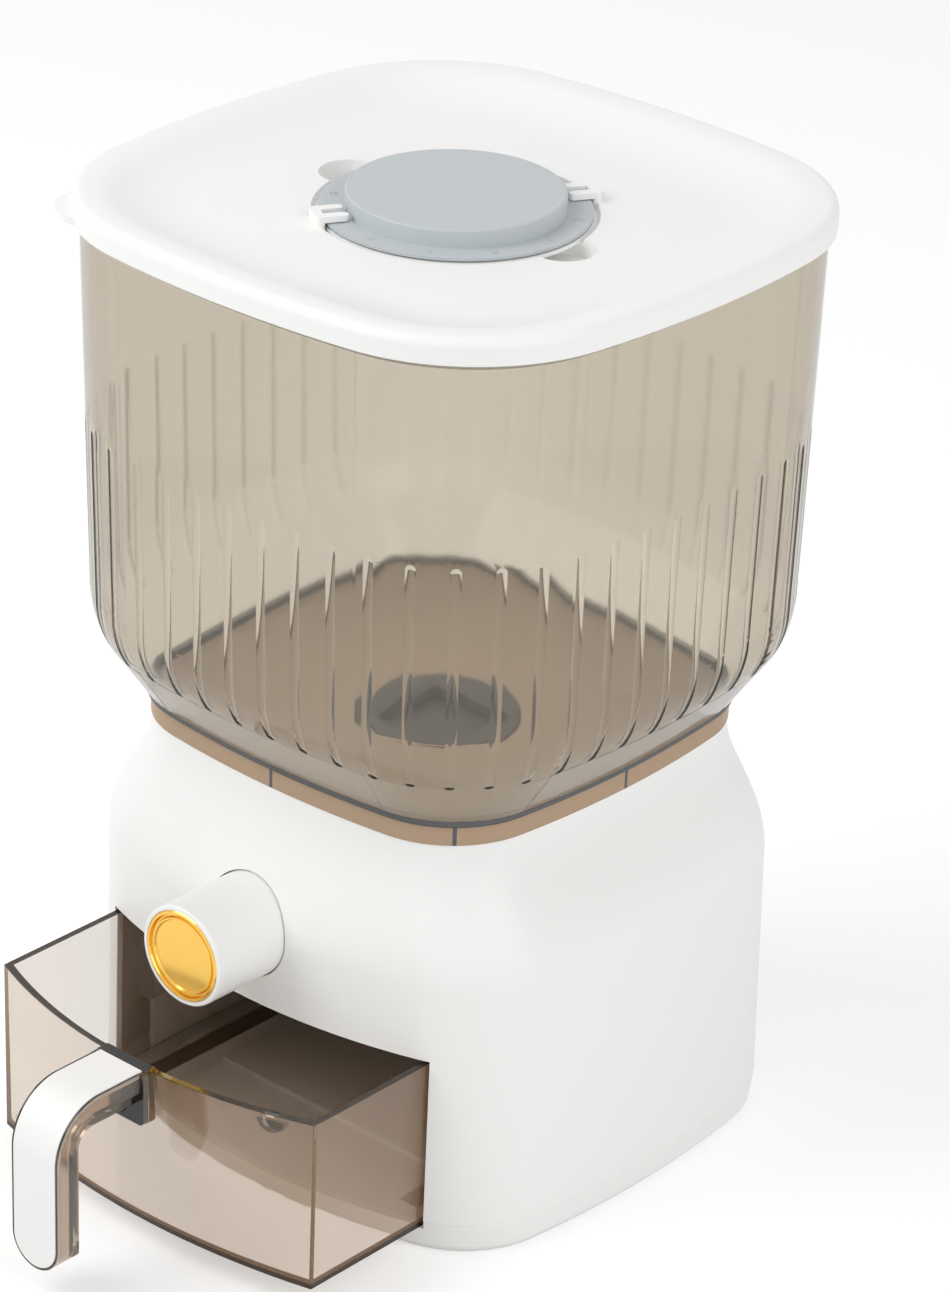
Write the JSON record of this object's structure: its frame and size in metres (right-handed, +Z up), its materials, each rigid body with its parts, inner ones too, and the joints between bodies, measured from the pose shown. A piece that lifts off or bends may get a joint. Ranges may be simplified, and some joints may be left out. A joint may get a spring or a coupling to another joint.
{
  "type": "rice dispenser",
  "caption": "Square grain dispenser: clear fluted hopper with lid and date dial over a waisted white base, push button gate, pull-out clear drawer with hooked handle.",
  "frame": {"origin": "centre of the base plate's underside, on the surface the dispenser stands on", "axes": "+Z up, -Y towards the drawer and button side, +X to the right seen from the front"},
  "size_m": [0.22, 0.3027, 0.3387],
  "materials": {
    "white_plastic": "satin white",
    "smoke_clear": "clear, smoke brown tint",
    "dark_plastic": "matt",
    "grey_plastic": "fine matt",
    "gold_plastic": "gold metallised gloss",
    "rubber": "soft matt",
    "steel": "plain"
  },
  "bodies": {
    "stand": {"base_shell": "white_plastic", "base_plate": "white_plastic", "feet": "rubber", "plate_screws": "steel", "drawer_rails": "white_plastic", "hopper_shell": "smoke_clear", "hopper_floor": "smoke_clear", "outlet_throat": "dark_plastic", "outlet_chute": "white_plastic", "gate_guide": "dark_plastic", "rod_bush": "dark_plastic", "button_guide": "white_plastic", "deck_screws": "steel"},
    "lid": {"lid_shell": "white_plastic", "lid_gasket": "rubber", "drying_cup": "white_plastic"},
    "dial": {"date_dial": "grey_plastic", "dial_seal": "rubber"},
    "press": {"button_barrel": "white_plastic", "button_cap": "gold_plastic", "push_rod": "dark_plastic", "shutter_gate": "dark_plastic", "retaining_ring": "steel", "return_spring": "steel"},
    "drawer": {"drawer_bin": "smoke_clear", "drawer_handle": "smoke_clear", "handle_strap": "white_plastic"}
  },
  "joints": [
    {"name": "button_press", "type": "slide", "parent": "stand", "child": "press", "axis": [0, 1, 0], "range_m": [0, 0.02], "stiffness_N_per_m": 250, "springref_m": -0.008, "deforming": ["return_spring"]},
    {"name": "drawer_slide", "type": "slide", "parent": "stand", "child": "drawer", "axis": [0, -1, 0], "range_m": [-0.0557, 0.09]},
    {"name": "lid_lift", "type": "slide", "parent": "stand", "child": "lid", "axis": [0, 0, 1], "range_m": [0, 0.06]},
    {"name": "dial_turn", "type": "hinge", "parent": "lid", "child": "dial", "pos_m": [0, 0, 0.3315], "axis": [0, 0, 1], "continuous": true}
  ]
}
